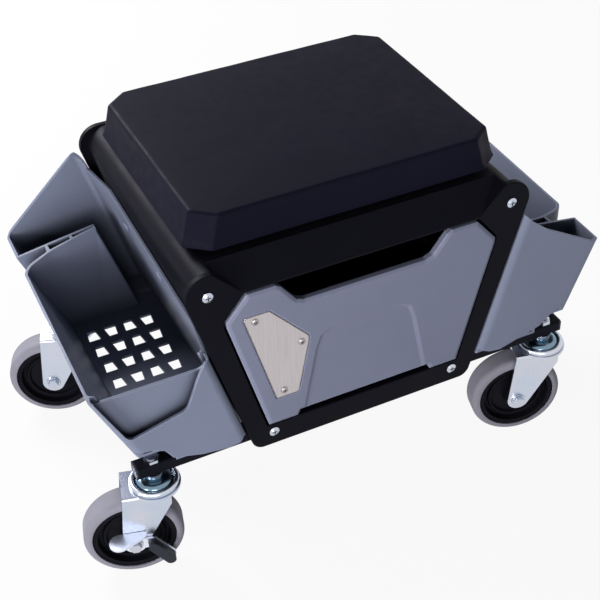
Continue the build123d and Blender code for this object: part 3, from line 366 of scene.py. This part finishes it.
def brushed_stainless(base):
    """Sheet brushed up and down, with painted shade in a dark line round its edge, where the plate
    meets its pocket.
    """
    finish = Finish("brushed_stainless", roughness=0.36, metallic=1.0)
    finish.shader.inputs["Anisotropic"].default_value = 0.6
    finish.soft_edges(1.8 * MM)
    lines = finish.stretched((1.0, 1.0, 0.02))
    finish.base(finish.tint(finish.drift(0.6 * MM, place=lines), scaled(base, 0.86), base))
    finish.polish(0.3, 0.46, size=0.5 * MM, place=lines)
    finish.relief(finish.cloud(0.3 * MM, detail=2.0, place=lines), depth=0.02 * MM, strength=0.5)
    # painted shade: the rim of the plate is painted nearly black, as the shadow where it meets its
    # pocket
    finish.over(finish.edge_share(full=0.95, none=0.997), scaled(base, 0.06))
    return finish


def plated(name, base, roughness=0.24):
    """Bright zinc with the faint blue and straw patches of its passivation, with painted shade in its
    slots and crevices.
    """
    finish = Finish(name, roughness=roughness, metallic=1.0)
    blue = (base[0] * 0.91, base[1] * 0.97, base[2])
    straw = (base[0] * 1.03, base[1] * 1.02, base[2] * 0.99)
    finish.base(finish.tint(finish.drift(30 * MM, detail=2.0), blue, straw))
    finish.polish(roughness - 0.03, roughness + 0.06, size=20 * MM)
    finish.relief(finish.cloud(1.4 * MM, detail=2.0), depth=0.02 * MM, strength=0.08)
    # painted shade: the zinc is painted nearly black where ambient occlusion finds slots and crevices
    finish.over(finish.open_share(1.6 * MM, 0.8, 0.3), scaled(base, 0.06))
    return finish


def stem_zinc(race, zinc):
    """Blue zinc on the dome over the swivel race, plain zinc on the stem above it."""
    finish = plated("race_zinc", race, 0.2)
    finish.over(finish.height_share(*STEM_FOOT), zinc)
    return finish


def tyre_rubber(base):
    """Matt grey rubber."""
    finish = Finish("tyre_rubber", roughness=0.55, specular=0.15)
    finish.paint(base, variation=0.06, size=20 * MM)
    finish.polish(0.5, 0.66, size=10 * MM)
    finish.relief(finish.cloud(0.6 * MM, detail=3.0), depth=0.05 * MM, strength=0.6)
    return finish


def hub_plastic(base):
    """Black plastic of the wheel discs."""
    finish = Finish("hub_black", roughness=0.38, specular=0.045, cool=True)
    finish.soft_edges(0.6 * MM)
    finish.paint(base, variation=0.15, size=20 * MM)
    finish.polish(0.28, 0.42, size=12 * MM)
    finish.relief(finish.cloud(0.8 * MM, detail=2.0), depth=0.03 * MM, strength=0.4)
    return finish


# ------------------------------------------------------------------ mesh tools
def mesh_object(name, vertices, faces):
    mesh = bpy.data.meshes.new(name)
    mesh.from_pydata([tuple(v) for v in vertices], [], faces)
    mesh.update()
    piece = bpy.data.objects.new(name, mesh)
    bpy.context.scene.collection.objects.link(piece)
    return piece


def skinned(name, loops):
    """Smooth closed skin over loops with the same number of points, with a point at each end."""
    count = len(loops[0])
    vertices = [point for loop in loops for point in loop]
    faces = []
    for row in range(len(loops) - 1):
        low, high = row * count, (row + 1) * count
        for i in range(count):
            j = (i + 1) % count
            faces.append((low + i, low + j, high + j, high + i))
    for row, order in ((0, -1), (len(loops) - 1, 1)):
        tip = len(vertices)
        vertices.append(sum(loops[row], Vector((0, 0, 0))) / count)
        for i in range(count):
            pair = (row * count + i, row * count + (i + 1) % count)
            faces.append((*pair[::order], tip))
    piece = mesh_object(name, vertices, faces)
    piece.data.shade_smooth()
    return piece


# ------------------------------------------------------------------ padded seat
CORNER_CUT = (21.7 * MM, 18.2 * MM)  # what the cut corners take off along x and y
LIP_HEIGHT = 3.5 * MM  # the widest line, over the underside
LEAN = (9.5 * MM, 2.8 * MM)  # how far the sides lean in from the lip to the top edge
TUCK = (8.5 * MM, 9.5 * MM)  # how far the underside tucks back under the lip
LIP_DRAW = 0.3  # share of the lip radius by which the skin draws in over the lip
CROWN_POWER = 2.2  # over 1, the middle of the sitting face stays flatter
ARC_STEPS, CUT_STEPS, SIDE_STEPS = 4, 7, 40  # spans round a corner, along a cut, along a side
STILL_ROWS = 5  # rows of the underside whose height the foam doesn't move
SLOW_WAVES, SLOW_RISE = 14, 25  # waves in a metre along the seat and up its sides
FINE_WAVES, FINE_SHARE = 60, 0.35
SIDE_WAVES, SIDE_SHARE = 30, 0.6
SWAY_X, SWAY_Y = Vector((7, 0, 0)), Vector((0, 7, 0))  # far apart in the noise
ON_SIDE = 0.9  # share of the half width or depth beyond which a point is on that side


def rounded_octagon(half_x, half_y, inset, radius):
    """Points round a rectangle with cut corners, moved in by inset, its eight corners rounded."""
    cut_x, cut_y = CORNER_CUT
    slope = math.hypot(cut_x, cut_y)
    normal = (cut_y / slope, cut_x / slope)
    x, y = half_x - inset, half_y - inset
    reach = (half_x * cut_y + half_y * cut_x - cut_x * cut_y) / slope - inset
    quarter = [(x, (reach - normal[0] * x) / normal[1]), ((reach - normal[1] * y) / normal[0], y)]
    corners = quarter + [(-a, b) for a, b in quarter[::-1]]
    corners += [(-a, -b) for a, b in corners]
    corners = [Vector(corner) for corner in corners]
    points = []
    for i, here in enumerate(corners):
        before, after = corners[i - 1], corners[(i + 1) % len(corners)]
        into, out = (before - here).normalized(), (after - here).normalized()
        start = radius * math.tan((math.pi - into.angle(out)) / 2)
        first, last = here + into * start, here + out * start
        for step in range(ARC_STEPS + 1):
            t = step / ARC_STEPS
            points.append((1 - t) ** 2 * first + 2 * t * (1 - t) * here + t ** 2 * last)
        span = (after - here).length - 2 * start
        steps = SIDE_STEPS if i % 2 else CUT_STEPS
        points += [last + out * span * k / steps for k in range(1, steps)]
    return points


def seat_rows(s, low, high):
    """Outlines from the underside to the top edge, as (z, half width, half depth, inset)."""
    wide, deep = (high[0] - low[0]) / 2, (high[1] - low[1]) / 2
    lip_z = low[2] + LIP_HEIGHT
    shoulder_z = high[2] - s.crown
    side_z, edge_z = lip_z + s.lip_radius, shoulder_z - s.edge_radius
    draw = s.lip_radius * LIP_DRAW
    rows = []

    def leaning(z, inset):
        share = (z - lip_z) / (shoulder_z - lip_z)
        rows.append((z, wide - LEAN[0] * share, deep - LEAN[1] * share, inset))

    for t in (0.55, 0.8, 0.93, 1.0):  # flat underside
        rows.append((low[2], (wide - TUCK[0]) * t, (deep - TUCK[1]) * t, 0.0))
    for t in (0.35, 0.7, 0.9):  # tuck up to the lip
        rows.append((low[2] + LIP_HEIGHT * t, wide - TUCK[0] * (1 - t), deep - TUCK[1] * (1 - t), 0.0))
    for degrees in (20, 45, 70, 90):  # lip
        rise = math.radians(degrees)
        rows.append((lip_z + s.lip_radius * math.sin(rise), wide, deep, draw * (1 - math.cos(rise))))
    for t in (0.15, 0.3, 0.45, 0.6, 0.75, 0.9, 1.0):  # sides
        leaning(side_z + (edge_z - side_z) * t, draw * (1 - t))
    for degrees in (15, 30, 45, 60, 75, 90):  # top edge
        turn = math.radians(degrees)
        leaning(edge_z + s.edge_radius * math.sin(turn), s.edge_radius * (1 - math.cos(turn)))
    return rows


def crowned(rim, z, crown):
    """Ever smaller copies of the rim, which rise to the middle of the sitting face."""
    loops = []
    for scale in (0.985, 0.96, 0.92, 0.86, 0.78, 0.69, 0.59, 0.48, 0.36, 0.24, 0.12):
        rise = crown * (1 - scale ** CROWN_POWER)
        loops.append([Vector((p.x * scale, p.y * scale, z + rise)) for p in rim])
    return loops


def loosen(loops, s, low, high):
    """Draws the sides in between the corners and adds the waves of the foam."""
    wide, deep = (high[0] - low[0]) / 2, (high[1] - low[1]) / 2
    for row, loop in enumerate(loops):
        for p in loop:
            u, v = min(1, abs(p.x) / wide), min(1, abs(p.y) / deep)
            up = min(1, (p.z - low[2]) / (high[2] - low[2]))
            if p.z < high[2] - s.crown:
                slack = s.pull_in * math.sin(math.pi * up)
                if v > ON_SIDE:
                    p.y -= math.copysign(slack * (1 - u ** 4), p.y)
                elif u > ON_SIDE:
                    p.x -= math.copysign(slack * (1 - v ** 4), p.x)
            slow = noise.noise(Vector((p.x * SLOW_WAVES, p.y * SLOW_WAVES, p.z * SLOW_RISE)))
            wave = slow + noise.noise(p * FINE_WAVES) * FINE_SHARE
            if row >= STILL_ROWS:
                p.z += s.unevenness * wave * up
            sway = s.unevenness * SIDE_SHARE
            p.x += sway * noise.noise(p * SIDE_WAVES + SWAY_X)
            p.y += sway * noise.noise(p * SIDE_WAVES + SWAY_Y)


class CREEPER_OT_seat(Operator):
    """Build the padded seat over its board"""

    bl_idname = "creeper.seat"
    bl_label = "Padded seat"

    def execute(self, context):
        s = context.scene.creeper_seat
        low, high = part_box("seat_pad")
        loops = []
        for z, x, y, inset in seat_rows(s, low, high):
            outline = rounded_octagon(x, y, inset, s.corner_radius)
            loops.append([Vector((p.x, p.y, z)) for p in outline])
        loops += crowned(loops[-1], high[2] - s.crown, s.crown)
        loosen(loops, s, low, high)
        middle = Vector(((low[0] + high[0]) / 2, (low[1] + high[1]) / 2, 0))
        seat = skinned("seat", [[p + middle for p in loop] for loop in loops])
        smooth = seat.modifiers.new("smooth", "SUBSURF")
        smooth.levels = smooth.render_levels = 1
        seat.data.materials.append(seat_vinyl(s.cover, s.grain).material)
        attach(seat, "body")
        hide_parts("seat_pad")
        return {"FINISHED"}


# ------------------------------------------------------------------ finishes of the CAD nodes
class CREEPER_OT_body_finish(Operator):
    """Coat the panels, shell, base and tubes, and finish the hidden parts of the body"""

    bl_idname = "creeper.body_finish"
    bl_label = "Body finishes"

    def execute(self, context):
        s = context.scene.creeper_body
        dress(powder_coat("panel_black", s.panel), "front_panel", "rear_panel")
        dress(powder_coat("shell_black", s.shell),
              "body_wrap", "base_plate", "front_cross_tube", "rear_cross_tube")
        dress(powder_coat("lining_black", s.lining),
              "drawer_box", "left_runner", "right_runner", "tie_rods")
        dress(plywood(s.board), "seat_board")
        return {"FINISHED"}


class CREEPER_OT_plastic_finish(Operator):
    """Finish the grey mouldings and the brushed trim plate"""

    bl_idname = "creeper.plastic_finish"
    bl_label = "Grey plastic and trim"

    def execute(self, context):
        s = context.scene.creeper_plastic
        dress(tray_plastic(s.grey), "left_tray", "right_tray", "tray_screws")
        dress(moulded("drawer_grey", s.front, edge=2.4 * MM), "drawer_front")
        dress(moulded("plug_black", scaled(s.grey, 0.12)), "tube_plugs")
        dress(brushed_stainless(s.stainless), "trim_plate")
        dress(plated("trim_bolt", scaled(s.stainless, 0.62), 0.42), "trim_screws")
        return {"FINISHED"}


class CREEPER_OT_caster_finish(Operator):
    """Finish the casters and fasteners"""

    bl_idname = "creeper.caster_finish"
    bl_label = "Caster finishes"

    def execute(self, context):
        s = context.scene.creeper_caster
        zinc = plated("bright_zinc", s.zinc)
        steel = plated("bolt_zinc", scaled(s.zinc, 0.95), 0.2)
        lever = plated("lever_zinc", scaled(s.zinc, 1.3), 0.36)
        cover = moulded("brake_cover_black", s.brake_cover, 0.36)
        tyre = tyre_rubber(s.tyre)
        hub = hub_plastic(s.hub)
        for corner in CORNERS:
            dress(zinc, f"fork_{corner}")
            dress(steel, f"axle_{corner}", f"bush_{corner}")
            dress(tyre, f"tyre_{corner}")
            dress(hub, f"hub_{corner}")
            if f"brake_lever_{corner}" in NODES:
                dress(lever, f"brake_lever_{corner}")
                dress(cover, f"brake_cover_{corner}")
        dress(stem_zinc(s.race, s.zinc), "caster_stems")
        dress(steel, "stem_nuts", "panel_screws", "drawer_screws", "base_bolts", "seat_bolts")
        return {"FINISHED"}


# ------------------------------------------------------------------ studio
FLOOR_HALF = 4.0
FLOOR_DROP = 0.5 * MM  # under the wheels, so that the faces don't meet
FLOOR_GREY = 0.6
FLOOR_SHOWN = 0.92  # how much of the floor's look is plain white; the rest takes the shadow
LAMPS = {  # place, aim and disc size in metres
    "back": ((-0.65, 1.75, 1.55), (0, 0, 0.3), 1.2),
    "key": ((-1.0, -2.1, 0.72), (0, 0, 0.25), 1.2),
    "side": ((-1.8, -0.9, 0.48), (0, 0, 0.3), 0.7),
}


def seen(tree):
    """1 for rays from the camera, straight, mirrored or through glass."""
    path = tree.nodes.new("ShaderNodeLightPath")
    total = path.outputs["Is Camera Ray"]
    for kind in ("Is Glossy Ray", "Is Transmission Ray"):
        total = maths(tree, "MAXIMUM", total, path.outputs[kind])
    return total


def show_or_light(tree, share, light, show, surface):
    """Shows one shader in the share of rays that are seen, and lights with the other."""
    mix = tree.nodes.new("ShaderNodeMixShader")
    tree.links.new(share, mix.inputs["Fac"])
    tree.links.new(light, mix.inputs[1])
    tree.links.new(show, mix.inputs[2])
    tree.links.new(mix.outputs["Shader"], surface)


class CREEPER_OT_studio(Operator):
    """Set up the floor, the lamps, the surroundings and the camera"""

    bl_idname = "creeper.studio"
    bl_label = "Studio"

    def execute(self, context):
        s = context.scene.creeper_studio
        scene = context.scene
        scene.view_settings.view_transform = "Standard"
        self.surroundings(scene, s)
        self.floor()
        for name, (place, aim, size) in LAMPS.items():
            self.lamp(scene, name, Vector(place), Vector(aim), size, getattr(s, name))
        self.camera(scene, s)
        return {"FINISHED"}

    def surroundings(self, scene, s):
        """White where seen, a faint cool light on the object."""
        world = bpy.data.worlds.new("studio")
        world.use_nodes = True
        scene.world = world
        tree = world.node_tree
        white = tree.nodes["Background"]
        white.inputs["Color"].default_value = (1, 1, 1, 1)
        white.inputs["Strength"].default_value = 1.0
        ambient = tree.nodes.new("ShaderNodeBackground")
        ambient.inputs["Color"].default_value = (*s.ambient_tint, 1)
        ambient.inputs["Strength"].default_value = s.ambient
        show_or_light(tree, seen(tree), ambient.outputs["Background"], white.outputs["Background"],
                      tree.nodes["World Output"].inputs["Surface"])

    def floor(self):
        """Nearly white floor that keeps the object's shadow."""
        half = FLOOR_HALF
        corners = [(-half, -half, 0), (half, -half, 0), (half, half, 0), (-half, half, 0)]
        floor = mesh_object("floor", corners, [(0, 1, 2, 3)])
        floor.location.z = -FLOOR_DROP
        material = bpy.data.materials.new("studio_floor")
        material.use_nodes = True
        tree = material.node_tree
        shader = tree.nodes["Principled BSDF"]
        shader.inputs["Base Color"].default_value = (FLOOR_GREY, FLOOR_GREY, FLOOR_GREY, 1)
        shader.inputs["Roughness"].default_value = 0.9
        shader.inputs["Specular IOR Level"].default_value = 0.0
        glow = tree.nodes.new("ShaderNodeEmission")
        glow.inputs["Strength"].default_value = 1.0
        share = maths(tree, "MULTIPLY", seen(tree), FLOOR_SHOWN)
        show_or_light(tree, share, shader.outputs["BSDF"], glow.outputs["Emission"],
                      tree.nodes["Material Output"].inputs["Surface"])
        floor.data.materials.append(material)

    def lamp(self, scene, name, place, aim, size, power):
        light = bpy.data.lights.new(name, "AREA")
        light.shape = "DISK"
        light.size = size
        light.energy = power
        lamp = bpy.data.objects.new(name, light)
        lamp.location = place
        lamp.rotation_euler = (aim - place).to_track_quat("-Z", "Y").to_euler()
        scene.collection.objects.link(lamp)

    def camera(self, scene, s):
        view = bpy.data.cameras.new("camera")
        view.sensor_width = 36.0
        view.lens = s.lens
        view.clip_end = 50.0
        camera = bpy.data.objects.new("camera", view)
        scene.collection.objects.link(camera)
        az, el = s.azimuth, s.elevation
        back = Vector((math.sin(az) * math.cos(el), -math.cos(az) * math.cos(el), math.sin(el)))
        right = Vector((math.cos(az), math.sin(az), 0))
        up = back.cross(right)
        x = right * math.cos(s.roll) - up * math.sin(s.roll)
        y = right * math.sin(s.roll) + up * math.cos(s.roll)
        turn = Matrix((x, y, back)).transposed().to_4x4()
        camera.matrix_world = Matrix.Translation(s.eye) @ turn
        scene.camera = camera


class CREEPER_PT_panel(Panel):
    """Lists the steps that dress the creeper seat"""

    bl_label = "Creeper Seat"
    bl_idname = "CREEPER_PT_panel"
    bl_space_type = "VIEW_3D"
    bl_region_type = "UI"
    bl_category = "Creeper Seat"

    def draw(self, context):
        column = self.layout.column()
        for operator in STEPS:
            column.operator(operator.bl_idname)


# ------------------------------------------------------------------ add-on
STEPS = (CREEPER_OT_studio, CREEPER_OT_seat, CREEPER_OT_body_finish, CREEPER_OT_plastic_finish,
         CREEPER_OT_caster_finish)
SETTINGS = {
    "creeper_seat": SeatSettings,
    "creeper_body": BodySettings,
    "creeper_plastic": PlasticSettings,
    "creeper_caster": CasterSettings,
    "creeper_studio": StudioSettings,
}


def register():
    for name, group in SETTINGS.items():
        bpy.utils.register_class(group)
        setattr(bpy.types.Scene, name, PointerProperty(type=group))
    for item in (*STEPS, CREEPER_PT_panel):
        bpy.utils.register_class(item)


def unregister():
    for item in (CREEPER_PT_panel, *reversed(STEPS)):
        bpy.utils.unregister_class(item)
    for name, group in SETTINGS.items():
        delattr(bpy.types.Scene, name)
        bpy.utils.unregister_class(group)


def main():
    register()
    for operator in STEPS:
        group, name = operator.bl_idname.split(".")
        getattr(getattr(bpy.ops, group), name)()


if __name__ == "__main__":
    main()
